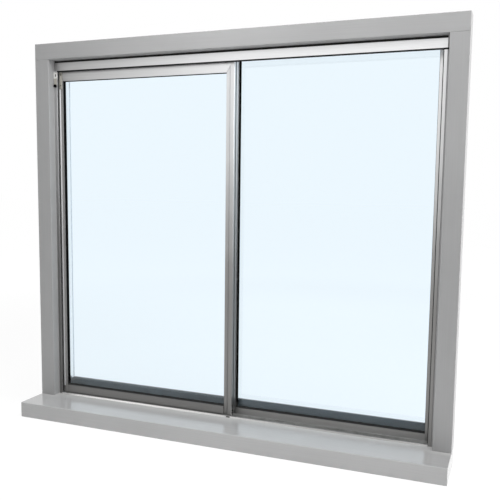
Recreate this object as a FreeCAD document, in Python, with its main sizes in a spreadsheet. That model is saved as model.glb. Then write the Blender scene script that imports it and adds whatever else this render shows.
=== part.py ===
import FreeCAD, Part
import os
import re
import Sketcher

# Horizontal sliding window in a painted timber surround.
# Millimetres, +X to the right, +Y into the wall, +Z up.
# The origin is the middle of the underside of the sill board.

# Driving sizes: name, value and what it measures
SIZES = (
    ("overall_width", 1500, "surround, outer face to outer face"),
    ("surround_height", 1290, "top of the sill board to the top of the head board"),
    ("sill_thickness", 54, "sill board"),
    ("sill_projection", 118, "sill board in front of the casing face"),
    ("casing_depth", 62, "surround standing proud of the wall"),
    ("lining_depth", 62, "surround inside the wall opening"),
    ("wall_step", 12, "step from the proud surround to the lining"),
    ("jamb_face", 57, "face of each jamb board"),
    ("head_face", 56, "face of the head board"),
    ("board_round", 1.5, "rounded front edges of the head and jambs"),
    ("sill_round", 3, "rounded front edges of the sill board"),
    ("drip_width", 8, "drip groove under the sill"),
    ("drip_depth", 5, "drip groove under the sill"),
    ("drip_setback", 14, "drip groove behind the front edge of the sill"),
    ("reveal", 33, "casing face to the face of the aluminium frame"),
    ("rebate_depth", 8, "seat of the frame in the sill board"),
    ("frame_wall", 3, "plates and lips of the frame"),
    ("metal_round", 0.8, "rounded front edges of the aluminium"),
    ("nose_run", 5, "sloping nose in front of the frame face"),
    ("nose_rise", 4.5, "nose above the sill board"),
    ("head_gap", 7.5, "gap between the head board and the frame head"),
    ("head_lip", 28.5, "front lip of the frame head"),
    ("head_rear_lip", 14, "rear lip of the frame head"),
    ("left_lip", 12, "front lip of the left frame jamb"),
    ("right_lip", 17, "front lip of the right frame jamb"),
    ("jamb_rear_lip", 5, "rear lips of the frame jambs"),
    ("fillet_width", 7, "painted fillet between the right frame jamb and its board"),
    ("fillet_setback", 1, "painted fillet behind the face of the frame"),
    ("fin_thick", 2, "guide fin between the tracks of the head"),
    ("fin_drop", 14, "guide fin below the web of the head"),
    ("brush_drop", 3.5, "black strip under the lip of the head"),
    ("jamb_strip_bed", 3, "black strips behind the lips of the jambs, across the lip"),
    ("jamb_strip_foot", 8, "black strips of the jambs above the sill board"),
    ("left_strip_depth", 2, "black strip of the left jamb behind its lip"),
    ("right_strip_depth", 8, "black strip of the right jamb behind its lip"),
    ("right_strip_proud", 2.5, "black strip of the right jamb beyond its lip"),
    ("seal_inset", 5, "black seal behind the face of the frame head"),
    ("seal_depth", 20, "black seal above the frame head"),
    ("track_thick", 2, "track rail"),
    ("track_rise", 13, "track rail above the base plate"),
    ("bar_thick", 8, "weather bar behind the lites"),
    ("bar_rise", 51.3, "weather bar above the base plate"),
    ("bar_gap", 1, "fixed lite to weather bar"),
    ("bar_end_gap", 0.5, "frame jamb to the end of the weather bar"),
    ("bar_corner", 12, "rounded ends of the weather bar"),
    ("drain_length", 14, "drain slot in the nose"),
    ("drain_height", 3, "drain slot in the nose"),
    ("drain_lift", 0.5, "drain slot above the sill board"),
    ("lite_depth", 22, "sash and fixed lite, front to back"),
    ("track_pitch", 40, "sash to fixed lite, face to face"),
    ("sash_setback", 11, "frame face to sash face"),
    ("sash_side_gap", 5, "frame jamb to sash"),
    ("sash_lift", 3, "foot of the sash above the sill board"),
    ("sash_head_room", 13.5, "top of the sash below the web of the head"),
    ("lock_stile", 20, "face of the lock stile"),
    ("meeting_stile", 30, "face of each meeting stile"),
    ("meeting_edge", 12, "right edge of the sash, right of the middle"),
    ("meeting_lag", 1, "fixed meeting stile left of the sash edge"),
    ("fixed_stile", 30, "face of the fixed jamb stile"),
    ("sash_bottom_face", 29.5, "sash bottom rail"),
    ("sash_top_face", 47, "sash top rail"),
    ("fixed_bottom_face", 24.5, "fixed bottom rail"),
    ("fixed_top_face", 15.5, "fixed top rail"),
    ("glass_thick", 6, "panes"),
    ("slot_width", 8, "glazing slot"),
    ("slot_depth", 8, "glazing slot"),
    ("glass_bite", 6, "pane inside the slot"),
    ("track_slot_width", 12, "slot in the foot of the sash"),
    ("track_slot_depth", 19, "slot in the foot of the sash"),
    ("rail_wall", 5, "front and back walls of the sash top rail"),
    ("rail_hollow", 30, "hollow in the sash top rail"),
    ("bead_width", 7, "flat glazing bead of the meeting stile"),
    ("bead_setback", 4.5, "glazing bead behind the stile face"),
    ("cove_width", 9, "hollow from the bead to the stile face"),
    ("cove_radius", 10.5, "hollow from the bead to the stile face"),
    ("pile_setback", 12, "pile strip behind the face of the meeting stile"),
    ("pile_width", 6, "pile strip in the side of the meeting stile"),
    ("pile_depth", 3, "pile strip in the side of the meeting stile"),
    ("stile_round", 3, "rounded outer corner of the meeting stile"),
    ("hook_thick", 3, "interlock hooks"),
    ("sash_hook_reach", 11.5, "hook behind the sash"),
    ("fixed_hook_reach", 11, "hook in front of the fixed lite"),
    ("hook_gap", 5.5, "between the two hooks"),
    ("hook_end_room", 20, "hooks short of the base plate and web"),
    ("pull_place", 8.5, "pull lip from the left edge of the sash"),
    ("pull_thick", 3, "pull lip"),
    ("pull_reach", 3.5, "pull lip in front of the sash"),
    ("pull_foot_room", 27, "pull lip above the foot of the sash"),
    ("pull_head_room", 76, "pull lip below the top of the sash"),
    ("plate_width", 12, "corner plate of the sash"),
    ("plate_height", 66, "corner plate of the sash"),
    ("plate_thick", 1.2, "corner plate of the sash"),
    ("plate_inset", 7, "corner plate from the left edge of the sash"),
    ("plate_drop", 8, "corner plate below the top of the sash"),
    ("plate_round", 3, "rounded corners of the corner plate"),
    ("gasket_lip", 5, "gaskets on the lock stile, the fixed meeting stile and the bottom rails"),
    ("gasket_thin", 1.8, "gaskets on the top rails and the fixed jamb stile"),
    ("gasket_meeting", 1.2, "gasket behind the bead of the meeting stile"),
    ("gasket_thick", 3.3, "gaskets in front of and behind the panes"),
    ("glide_length", 60, "glide blocks"),
    ("glide_inset", 60, "glide blocks from the ends of the sash"),
    ("glide_gap", 0.3, "glide blocks above the track rail"),
    ("stop_width", 14, "plate of the corner stop"),
    ("stop_height", 22, "plate of the corner stop"),
    ("stop_thick", 3, "plate of the corner stop"),
    ("stop_drop", 5, "corner stop below the lip of the head"),
    ("stop_round", 1.5, "rounded corners of the corner stop"),
    ("neck_width", 8, "neck of the corner stop"),
    ("neck_height", 21, "neck of the corner stop"),
    ("neck_place", 6, "middle of the neck from the jamb board"),
    ("stop_hole_width", 4.5, "oval hole of the corner stop"),
    ("stop_hole_height", 10, "oval hole of the corner stop"),
    ("buffer_radius", 5, "round buffer below the corner stop"),
    ("buffer_length", 8, "round buffer below the corner stop"),
    ("seat_gap", 0.3, "round buffer below the plate"),
    ("fixing_radius", 4, "holes for the frame screws"),
    ("fixing_depth", 75, "frame screws behind the casing face"),
    ("fixing_end", 220, "frame screws from the ends of the jambs"),
)

# Places worked out from the driving sizes
PLACES = {
    "left_opening": "jamb_face - overall_width / 2",
    "right_opening": "overall_width / 2 - jamb_face",
    "sill_front": "-(sill_projection + casing_depth + lining_depth) / 2",
    "casing_front": "sill_front + sill_projection",
    "frame_front": "casing_front + reveal",
    "frame_depth": "casing_depth + lining_depth - reveal",
    "sill_top": "sill_thickness",
    "soffit": "sill_top + surround_height - head_face",
    "base_under": "sill_top - rebate_depth",
    "base_top": "base_under + frame_wall",
    "head_top": "soffit - head_gap",
    "web_under": "head_top - frame_wall",
    "lip_foot": "head_top - head_lip",
    "track_left": "left_opening + left_lip",
    "track_right": "right_opening - right_lip",
    "sash_left": "left_opening + frame_wall + sash_side_gap",
    "sash_right": "meeting_edge",
    "sash_front": "frame_front + sash_setback",
    "sash_foot": "sill_top + sash_lift",
    "sash_top": "web_under - sash_head_room",
    "sash_glass_left": "sash_left + lock_stile",
    "sash_glass_right": "sash_right - meeting_stile",
    "sash_glass_foot": "sash_foot + sash_bottom_face",
    "sash_glass_top": "sash_top - sash_top_face",
    "fixed_left": "meeting_edge - meeting_lag - meeting_stile",
    "fixed_right": "right_opening - frame_wall",
    "fixed_front": "sash_front + track_pitch",
    "fixed_glass_left": "fixed_left + meeting_stile",
    "fixed_glass_right": "fixed_right - fixed_stile",
    "fixed_glass_foot": "base_top + fixed_bottom_face",
    "fixed_glass_top": "web_under - fixed_top_face",
    "glass_inset": "(lite_depth - glass_thick) / 2",
    "slot_near": "(lite_depth - slot_width) / 2",
    "slot_far": "(lite_depth + slot_width) / 2",
    "track_slot_near": "(lite_depth - track_slot_width) / 2",
    "track_slot_far": "(lite_depth + track_slot_width) / 2",
    "hook_foot": "base_top + hook_end_room",
    "hook_top": "web_under - hook_end_room",
    "frame_rear": "frame_front + frame_depth - frame_wall",
    "opening_width": "right_opening - left_opening",
    "fin_front": "sash_front + (lite_depth + track_pitch - fin_thick) / 2",
    "stop_foot": "lip_foot - stop_drop - stop_height - neck_height",
}

doc = FreeCAD.newDocument("sliding_window")
sheet = doc.addObject("Spreadsheet::Sheet", "Sizes")
for row, (alias, size, meaning) in enumerate(SIZES, start=1):
    sheet.set(f"A{row}", meaning)
    sheet.set(f"B{row}", str(size))
    sheet.setAlias(f"B{row}", alias)
doc.recompute()

ALIASES = {alias for alias, size, meaning in SIZES}
SUB_PARTS = []


def formula(text):
    """Turn a text of size and place names into an expression on the sheet."""
    def expand(found):
        word = found.group(0)
        if word in PLACES:
            return "(" + formula(PLACES[word]) + ")"
        if word in ALIASES:
            return "Sizes." + word
        raise ValueError(f"unknown size or place: {word}")
    return re.sub(r"[a-z_]+", expand, text)


def measure(text):
    """The present value of a text of size and place names."""
    return float(sheet.evalExpression(formula(text)))


def bind(item, path, text):
    """Bind one property to the sheet."""
    item.setExpression(path, formula(text))


def place(item, x="0", y="0", z="0"):
    """Bind the place of a sub-part to the sheet."""
    for axis, text in (("x", x), ("y", y), ("z", z)):
        bind(item, f"Placement.Base.{axis}", text)


def new_body(name, x="0", y="0", z="0"):
    """A body with its own name and place."""
    body = doc.addObject("PartDesign::Body", name)
    body.Label = name
    place(body, x, y, z)
    SUB_PARTS.append(body)
    return body


def new_sketch(body, name, plane, height="0"):
    """An empty sketch on one of the body's own origin planes, raised by a height."""
    sketch = body.newObject("Sketcher::SketchObject", f"{body.Name}_{name}")
    support = [item for item in body.Origin.OriginFeatures if item.Role == plane][0]
    sketch.AttachmentSupport = (support, [""])
    sketch.MapMode = "FlatFace"
    bind(sketch, "AttachmentOffset.Base.z", height)
    return sketch


def fix_point(sketch, element, point, across, up):
    """Hold one point of a sketch at sizes from the sheet, or on an axis."""
    for kind, axis, text in (("DistanceX", -2, across), ("DistanceY", -1, up)):
        if text == "0":
            sketch.addConstraint(Sketcher.Constraint("PointOnObject", element, point, axis))
        else:
            rule = Sketcher.Constraint(kind, -1, 1, element, point, measure(text))
            number = sketch.addConstraint(rule)
            bind(sketch, f"Constraints[{number}]", text)


def hollow_side(start, end, radius):
    """An arc with its centre to the right of the way from start to end. It is drawn from end to start."""
    chord = end - start
    outward = FreeCAD.Vector(chord.y, -chord.x, 0).normalize()
    reach = (radius ** 2 - (chord.Length / 2) ** 2) ** 0.5
    circle = Part.Circle((start + end) * 0.5 + outward * reach, FreeCAD.Vector(0, 0, 1), radius)
    return Part.ArcOfCircle(circle, circle.parameter(end), circle.parameter(start))


def draw_outline(sketch, corners):
    """A closed outline through corners (across, up), or (across, up, radius) where a hollow side starts."""
    spots = [FreeCAD.Vector(measure(corner[0]), measure(corner[1]), 0) for corner in corners]
    first = sketch.GeometryCount
    count = len(spots)
    ends = []
    for number, corner in enumerate(corners):
        start, end = spots[number], spots[(number + 1) % count]
        if len(corner) == 3:
            sketch.addGeometry(hollow_side(start, end, measure(corner[2])))
            ends.append((2, 1))
        else:
            sketch.addGeometry(Part.LineSegment(start, end))
            ends.append((1, 2))
    for number in range(count):
        after = (number + 1) % count
        joint = (first + number, ends[number][1], first + after, ends[after][0])
        sketch.addConstraint(Sketcher.Constraint("Coincident", *joint))
    for number, corner in enumerate(corners):
        fix_point(sketch, first + number, ends[number][0], corner[0], corner[1])
        if len(corner) == 3:
            rule = sketch.addConstraint(Sketcher.Constraint("Radius", first + number, measure(corner[2])))
            bind(sketch, f"Constraints[{rule}]", corner[2])


def rectangle(left, low, right, high):
    """Corners of a rectangle."""
    return ((left, low), (right, low), (right, high), (left, high))


def draw_upright_slot(sketch, across, low, high, radius):
    """A slot with round ends, from the low to the high centre."""
    upward = FreeCAD.Vector(0, 0, 1)
    half_turn = 3.141592653589793
    size = measure(radius)
    centre_low = FreeCAD.Vector(measure(across), measure(low), 0)
    centre_high = FreeCAD.Vector(measure(across), measure(high), 0)
    side = FreeCAD.Vector(size, 0, 0)
    sketch.addGeometry(Part.ArcOfCircle(Part.Circle(centre_high, upward, size), 0, half_turn))
    sketch.addGeometry(Part.LineSegment(centre_high - side, centre_low - side))
    sketch.addGeometry(Part.ArcOfCircle(Part.Circle(centre_low, upward, size), half_turn, 2 * half_turn))
    sketch.addGeometry(Part.LineSegment(centre_low + side, centre_high + side))
    for number in range(4):
        sketch.addConstraint(Sketcher.Constraint("Tangent", number, 2, (number + 1) % 4, 1))
    fix_point(sketch, 0, 3, across, high)
    fix_point(sketch, 2, 3, across, low)
    number = sketch.addConstraint(Sketcher.Constraint("Radius", 0, size))
    bind(sketch, f"Constraints[{number}]", radius)


def draw_circle(sketch, across, up, radius):
    """A circle held by its centre and radius."""
    size = measure(radius)
    centre = FreeCAD.Vector(measure(across), measure(up), 0)
    element = sketch.addGeometry(Part.Circle(centre, FreeCAD.Vector(0, 0, 1), size))
    fix_point(sketch, element, 3, across, up)
    number = sketch.addConstraint(Sketcher.Constraint("Radius", element, size))
    bind(sketch, f"Constraints[{number}]", radius)


def add_pad(body, name, plane, outlines, length, height="0", back=False):
    """Extrude outlines from a plane of the body."""
    sketch = new_sketch(body, f"{name}_outline", plane, height)
    for corners in outlines:
        draw_outline(sketch, corners)
    pad = body.newObject("PartDesign::Pad", f"{body.Name}_{name}")
    pad.Profile = sketch
    pad.Reversed = back
    bind(pad, "Length", length)
    doc.recompute()
    return pad


def cut_sketch(body, name, sketch, depth, back=False):
    """Cut a sketch into the body, and check that it took material away."""
    before = body.Shape.Volume
    pocket = body.newObject("PartDesign::Pocket", f"{body.Name}_{name}")
    pocket.Profile = sketch
    pocket.Reversed = back
    bind(pocket, "Length", depth)
    doc.recompute()
    if body.Shape.Volume >= before:
        raise RuntimeError(f"{body.Label}: {name} cut nothing")
    return pocket


def add_pocket(body, name, plane, corners, depth, height="0", back=False):
    """Cut one outline into the body."""
    sketch = new_sketch(body, f"{name}_outline", plane, height)
    draw_outline(sketch, corners)
    return cut_sketch(body, name, sketch, depth, back)


def round_edges(body, name, radius, chosen):
    """Round the edges of the body that a test picks by their middle and direction."""
    base = body.Tip
    names = []
    for number, edge in enumerate(base.Shape.Edges, start=1):
        start = edge.valueAt(edge.FirstParameter)
        end = edge.valueAt(edge.LastParameter)
        run = end - start
        if chosen((start + end) * 0.5, run.normalize()):
            names.append(f"Edge{number}")
    if not names:
        raise RuntimeError(f"{body.Label}: no edge to round for {name}")
    fillet = body.newObject("PartDesign::Fillet", f"{body.Name}_{name}")
    fillet.Base = (base, names)
    bind(fillet, "Radius", radius)
    doc.recompute()


def near(one, other):
    """Two lengths that are the same but for rounding."""
    return abs(one - other) < 0.01


def drill_fixings(body, start, across, foot, depth):
    """Two holes for frame screws through a jamb, along X from a start plane."""
    sketch = new_sketch(body, "fixings_outline", "YZ_Plane", start)
    for up in ("fixing_end", "soffit - sill_top - fixing_end"):
        draw_circle(sketch, across, f"{up} + {foot}", "fixing_radius")
    cut_sketch(body, "fixings", sketch, depth, back=True)


def front_edges(middle, run):
    """Edges that lie in the front face of a piece."""
    return near(middle.y, 0) and near(run.y, 0)


def front_run(middle, run):
    """Edges along the window in the front face of a piece."""
    return near(middle.y, 0) and near(abs(run.x), 1)


def front_upright(middle, run):
    """Upright edges in the front face of a piece."""
    return near(middle.y, 0) and near(abs(run.z), 1)


# Surround boards
def make_surround_head():
    body = new_body("surround_head", "-overall_width / 2", "casing_front", "soffit")
    add_pad(body, "casing", "XZ_Plane", [rectangle("0", "0", "overall_width", "head_face")],
            "casing_depth", back=True)
    lining = rectangle("wall_step", "0", "overall_width - wall_step", "head_face - wall_step")
    add_pad(body, "lining", "XZ_Plane", [lining], "lining_depth", "-casing_depth", back=True)
    round_edges(body, "front_round", "board_round", front_edges)


def make_surround_jamb(name, x, outer, inner):
    """A jamb board: outer and inner are the texts of its outer and inner faces."""
    body = new_body(name, x, "casing_front", "sill_top")
    toward = "+" if outer == "0" else "-"
    step = f"{outer} {toward} wall_step"
    depth = "casing_depth + lining_depth"
    corners = ((outer, "0"), (inner, "0"), (inner, depth), (step, depth), (step, "casing_depth"),
               (outer, "casing_depth"))
    add_pad(body, "board", "XY_Plane", [corners], "surround_height - head_face")
    round_edges(body, "front_round", "board_round", front_upright)
    drill_fixings(body, "0", "fixing_depth", "0", "jamb_face")


def make_surround_sill():
    body = new_body("surround_sill", "-overall_width / 2", "sill_front", "0")
    proud = "sill_projection + casing_depth"
    depth = f"{proud} + lining_depth"
    right = "overall_width - wall_step"
    board = (("0", "0"), ("overall_width", "0"), ("overall_width", proud), (right, proud),
             (right, depth), ("wall_step", depth), ("wall_step", proud), ("0", proud))
    add_pad(body, "board", "XY_Plane", [board], "sill_thickness")
    far = "overall_width - jamb_face"
    nose = "sill_projection + reveal - nose_run"
    seat = "sill_projection + reveal"
    rebate = (("jamb_face + left_lip", nose), (f"{far} - right_lip", nose), (f"{far} - right_lip", seat),
              (far, seat), (far, depth), ("jamb_face", depth), ("jamb_face", seat),
              ("jamb_face + left_lip", seat))
    add_pocket(body, "rebate", "XY_Plane", rebate, "rebate_depth", "sill_thickness")
    groove = rectangle("0", "drip_setback", "overall_width", "drip_setback + drip_width")
    add_pocket(body, "drip", "XY_Plane", groove, "drip_depth", back=True)
    round_edges(body, "front_round", "sill_round", front_run)


# Aluminium frame
def make_strip(name, x, y, z, length, depth, height, rounded=False):
    """A straight strip along the window, with its front edges rounded where they show."""
    body = new_body(name, x, y, z)
    add_pad(body, "strip", "YZ_Plane", [rectangle("0", "0", depth, height)], length)
    if rounded:
        round_edges(body, "front_round", "metal_round", front_run)


def make_frame_head():
    make_strip("frame_head", "left_opening", "frame_front + frame_wall", "web_under", "opening_width",
               "frame_depth - 2 * frame_wall", "frame_wall")
    for name, y, lip, length in (
            ("frame_head_lip", "frame_front", "head_lip", "opening_width - fillet_width"),
            ("frame_head_rear_lip", "frame_rear", "head_rear_lip", "opening_width")):
        make_strip(name, "left_opening", y, f"head_top - {lip}", length, "frame_wall", lip, rounded=True)
    make_strip("head_guide_fin", "left_opening + frame_wall", "fin_front", "web_under - fin_drop",
               "opening_width - 2 * frame_wall", "fin_thick", "fin_drop")


def make_frame_sill():
    make_strip("frame_sill", "left_opening", "frame_front + frame_wall", "base_under", "opening_width",
               "frame_depth - 2 * frame_wall", "frame_wall")
    nose = new_body("frame_sill_nose", "track_left", "frame_front - nose_run", "base_under")
    crest = "rebate_depth + nose_rise"
    ridge = "nose_run + frame_wall"
    section = (("0", "0"), (ridge, "0"), (ridge, crest), ("nose_run", crest), ("0", "rebate_depth"))
    add_pad(nose, "nose", "YZ_Plane", [section], "track_right - track_left")
    round_edges(nose, "crest_round", "metal_round",
                lambda middle, run: near(abs(run.x), 1) and near(middle.z, measure(crest)))
    right = "meeting_edge - track_left"
    low = "rebate_depth + drain_lift"
    drain = rectangle(f"{right} - drain_length", low, right, f"{low} + drain_height")
    add_pocket(nose, "drain", "XZ_Plane", drain, ridge)


def make_frame_jamb(side, x, web, front_lip, rear_lip):
    """A jamb plate with its lips: texts of the inner face of the plate and both edges of each lip."""
    plate = new_body(f"frame_{side}_jamb", x, "frame_front", "base_top")
    section = rectangle("0", "frame_wall", web, "frame_depth - frame_wall")
    add_pad(plate, "plate", "XY_Plane", [section], "web_under - base_top")
    start = "0" if web == "frame_wall" else web
    drill_fixings(plate, start, "fixing_depth - reveal", "sill_top - base_top", "frame_wall")
    for name, y, lip, top in ((f"frame_{side}_lip", "frame_front", front_lip, "lip_foot"),
                              (f"frame_{side}_rear_lip", "frame_rear", rear_lip, "head_top - head_rear_lip")):
        body = new_body(name, x, y, "base_under")
        add_pad(body, "lip", "XY_Plane", [rectangle(lip[0], "0", lip[1], "frame_wall")], f"{top} - base_under")
        round_edges(body, "front_round", "metal_round", front_upright)


def make_fillet():
    fillet = new_body("surround_right_fillet", "right_opening - fillet_width", "frame_front + fillet_setback",
                      "base_under")
    add_pad(fillet, "fillet", "XY_Plane", [rectangle("0", "0", "fillet_width", "frame_wall - fillet_setback")],
            "soffit - base_under")


def make_jamb_strip(side, x, depth, width):
    """A black strip behind the lip of a jamb, standing a little beyond its edge."""
    body = new_body(f"{side}_jamb_strip", x, "frame_front + frame_wall", "sill_top + jamb_strip_foot")
    add_pad(body, "strip", "XY_Plane", [rectangle("0", "0", width, depth)],
            "lip_foot - brush_drop - sill_top - jamb_strip_foot")


def make_track_rail():
    rail = new_body("sill_track_rail", "track_left", "sash_front + (lite_depth - track_thick) / 2", "base_top")
    add_pad(rail, "rail", "YZ_Plane", [rectangle("0", "0", "track_thick", "track_rise")],
            "track_right - track_left")


def make_weather_bar():
    body = new_body("rear_weather_bar", "left_opening + frame_wall + bar_end_gap",
                    "fixed_front + lite_depth + bar_gap", "base_top")
    length = "opening_width - 2 * frame_wall - 2 * bar_end_gap"
    add_pad(body, "bar", "XZ_Plane", [rectangle("0", "0", length, "bar_rise")], "bar_thick", back=True)
    top = measure("bar_rise")
    round_edges(body, "ends", "bar_corner",
                lambda middle, run: near(abs(run.y), 1) and near(middle.z, top))


def make_corner_stop():
    body = new_body("corner_stop", "left_opening", "frame_front - stop_thick", "stop_foot")
    near_side = "neck_place - neck_width / 2"
    far_side = "neck_place + neck_width / 2"
    top = "neck_height + stop_height"
    plate = ((near_side, "0"), (far_side, "0"), (far_side, "neck_height"), ("stop_width", "neck_height"),
             ("stop_width", top), ("0", top), ("0", "neck_height"), (near_side, "neck_height"))
    add_pad(body, "plate", "XZ_Plane", [plate], "stop_thick", back=True)
    width = measure("stop_width")
    round_edges(body, "corners", "stop_round",
                lambda middle, run: near(abs(run.y), 1) and (near(middle.x, 0) or near(middle.x, width)))
    hole = new_sketch(body, "hole_outline", "XZ_Plane")
    reach = "(stop_hole_height - stop_hole_width) / 2"
    centre = "neck_height + stop_height / 2"
    draw_upright_slot(hole, "stop_width / 2", f"{centre} - {reach}", f"{centre} + {reach}",
                      "stop_hole_width / 2")
    cut_sketch(body, "hole", hole, "stop_thick")


def make_buffer():
    buffer = doc.addObject("Part::Cylinder", "corner_stop_buffer")
    buffer.Label = "corner_stop_buffer"
    bind(buffer, "Radius", "buffer_radius")
    bind(buffer, "Height", "buffer_length")
    buffer.Placement.Rotation = FreeCAD.Rotation(FreeCAD.Vector(1, 0, 0), 90)
    place(buffer, "left_opening + neck_place", "frame_front", "stop_foot - seat_gap - buffer_radius")
    SUB_PARTS.append(buffer)


# Sash on the front track
def make_sash_rails():
    width = "sash_glass_right - sash_glass_left"
    low = new_body("sash_bottom_rail", "sash_glass_left", "sash_front", "sash_foot")
    ledge = "sash_bottom_face - slot_depth"
    foot = (("0", "0"), ("track_slot_near", "0"), ("track_slot_near", "track_slot_depth"),
            ("track_slot_far", "track_slot_depth"), ("track_slot_far", "0"), ("lite_depth", "0"),
            ("lite_depth", "sash_bottom_face"), ("slot_far", "sash_bottom_face"), ("slot_far", ledge),
            ("slot_near", ledge), ("slot_near", "sash_bottom_face"), ("0", "sash_bottom_face"))
    add_pad(low, "rail", "YZ_Plane", [foot], width)
    round_edges(low, "front_round", "metal_round", front_run)
    high = new_body("sash_top_rail", "sash_glass_left", "sash_front", "sash_glass_top")
    floor = "sash_top_face - rail_hollow"
    back_wall = "lite_depth - rail_wall"
    crown = (("0", "0"), ("slot_near", "0"), ("slot_near", "slot_depth"), ("slot_far", "slot_depth"),
             ("slot_far", "0"), ("lite_depth", "0"), ("lite_depth", "sash_top_face"),
             (back_wall, "sash_top_face"), (back_wall, floor), ("rail_wall", floor),
             ("rail_wall", "sash_top_face"), ("0", "sash_top_face"))
    add_pad(high, "rail", "YZ_Plane", [crown], f"{width} + meeting_stile")
    round_edges(high, "front_round", "metal_round", front_run)
    end = f"{width} + meeting_stile"
    add_pocket(high, "mitre", "XZ_Plane", ((width, "0"), (end, "0"), (end, "sash_top_face")), "lite_depth")


def notch_foot(body, width):
    """The slot in the foot of a stile that passes over the track rail."""
    slot = rectangle("0", "track_slot_near", width, "track_slot_far")
    add_pocket(body, "track_slot", "XY_Plane", slot, "track_slot_depth", back=True)


def make_lock_stile():
    body = new_body("sash_lock_stile", "sash_left", "sash_front", "sash_foot")
    inner = "lock_stile - slot_depth"
    section = (("0", "0"), ("lock_stile", "0"), ("lock_stile", "slot_near"), (inner, "slot_near"),
               (inner, "slot_far"), ("lock_stile", "slot_far"), ("lock_stile", "lite_depth"),
               ("0", "lite_depth"))
    add_pad(body, "stile", "XY_Plane", [section], "sash_top - sash_foot")
    round_edges(body, "front_round", "metal_round", front_upright)
    pull = rectangle("pull_place", "-pull_reach", "pull_place + pull_thick", "1")
    add_pad(body, "pull", "XY_Plane", [pull], "sash_top - sash_foot - pull_foot_room - pull_head_room",
            "pull_foot_room")
    notch_foot(body, "lock_stile")


def make_corner_plate():
    plate = new_body("sash_corner_plate", "sash_left + plate_inset", "sash_front - plate_thick",
                     "sash_top - plate_drop - plate_height")
    add_pad(plate, "plate", "XZ_Plane", [rectangle("0", "0", "plate_width", "plate_height")], "plate_thick",
            back=True)
    round_edges(plate, "corners", "plate_round", lambda middle, run: near(abs(run.y), 1))


def make_sash_meeting_stile():
    body = new_body("sash_meeting_stile", "sash_right - meeting_stile", "sash_front", "sash_foot")
    cove = "bead_width + cove_width"
    section = (("0", "bead_setback"), ("bead_width", "bead_setback", "cove_radius"), (cove, "0"),
               ("meeting_stile", "0"), ("meeting_stile", "lite_depth"), ("0", "lite_depth"),
               ("0", "slot_far"), ("slot_depth", "slot_far"), ("slot_depth", "slot_near"), ("0", "slot_near"))
    add_pad(body, "stile", "XY_Plane", [section], "sash_top - sash_foot")
    right = measure("meeting_stile")
    round_edges(body, "corner", "stile_round",
                lambda middle, run: near(abs(run.z), 1) and near(middle.x, right) and near(middle.y, 0))
    hook = rectangle("meeting_stile - hook_thick", "lite_depth - 1", "meeting_stile",
                     "lite_depth + sash_hook_reach")
    add_pad(body, "hook", "XY_Plane", [hook], "hook_top - hook_foot", "hook_foot - sash_foot")
    notch_foot(body, "meeting_stile")
    groove = rectangle("meeting_stile - pile_depth", "pile_setback", "meeting_stile",
                       "pile_setback + pile_width")
    add_pocket(body, "pile_groove", "XY_Plane", groove, "hook_top - hook_foot", "hook_foot - sash_foot",
               back=True)
    tall = "sash_top - sash_foot"
    mitre = (("0", f"{tall} - sash_top_face"), ("meeting_stile", tall), ("0", tall))
    add_pocket(body, "mitre", "XZ_Plane", mitre, "lite_depth")
    pile = new_body("sash_pile_strip", "sash_right - pile_depth", "sash_front + pile_setback", "hook_foot")
    add_pad(pile, "strip", "XY_Plane", [rectangle("0", "0", "pile_depth", "pile_width")],
            "hook_top - hook_foot")


def make_glides():
    under = "base_top + track_rise + glide_gap"
    height = f"sash_foot + track_slot_depth - {under.replace(' + ', ' - ')}"
    for name, x in (("sash_left_glide", "sash_left + glide_inset"),
                    ("sash_right_glide", "sash_right - glide_inset - glide_length")):
        make_strip(name, x, "sash_front + track_slot_near", under, "glide_length", "track_slot_width", height)


# Fixed lite on the rear track
def make_fixed_rails():
    width = "fixed_glass_right - fixed_glass_left"
    low = new_body("fixed_bottom_rail", "fixed_glass_left", "fixed_front", "base_top")
    ledge = "fixed_bottom_face - slot_depth"
    foot = (("0", "0"), ("lite_depth", "0"), ("lite_depth", "fixed_bottom_face"),
            ("slot_far", "fixed_bottom_face"), ("slot_far", ledge), ("slot_near", ledge),
            ("slot_near", "fixed_bottom_face"), ("0", "fixed_bottom_face"))
    add_pad(low, "rail", "YZ_Plane", [foot], width)
    high = new_body("fixed_top_rail", "fixed_glass_left", "fixed_front", "fixed_glass_top")
    crown = (("0", "0"), ("slot_near", "0"), ("slot_near", "slot_depth"), ("slot_far", "slot_depth"),
             ("slot_far", "0"), ("lite_depth", "0"), ("lite_depth", "fixed_top_face"), ("0", "fixed_top_face"))
    add_pad(high, "rail", "YZ_Plane", [crown], width)


def make_fixed_stiles():
    tall = "web_under - base_top"
    jamb = new_body("fixed_jamb_stile", "fixed_glass_right", "fixed_front", "base_top")
    section = (("0", "0"), ("fixed_stile", "0"), ("fixed_stile", "lite_depth"), ("0", "lite_depth"),
               ("0", "slot_far"), ("slot_depth", "slot_far"), ("slot_depth", "slot_near"), ("0", "slot_near"))
    add_pad(jamb, "stile", "XY_Plane", [section], tall)
    meeting = new_body("fixed_meeting_stile", "fixed_left", "fixed_front", "base_top")
    inner = "meeting_stile - slot_depth"
    section = (("0", "0"), ("meeting_stile", "0"), ("meeting_stile", "slot_near"), (inner, "slot_near"),
               (inner, "slot_far"), ("meeting_stile", "slot_far"), ("meeting_stile", "lite_depth"),
               ("0", "lite_depth"))
    add_pad(meeting, "stile", "XY_Plane", [section], tall)
    hook_right = "sash_right - hook_thick - hook_gap - fixed_left"
    hook = rectangle(f"{hook_right} - hook_thick", "-fixed_hook_reach", hook_right, "1")
    add_pad(meeting, "hook", "XY_Plane", [hook], "hook_top - hook_foot", "hook_foot - base_top")


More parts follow.
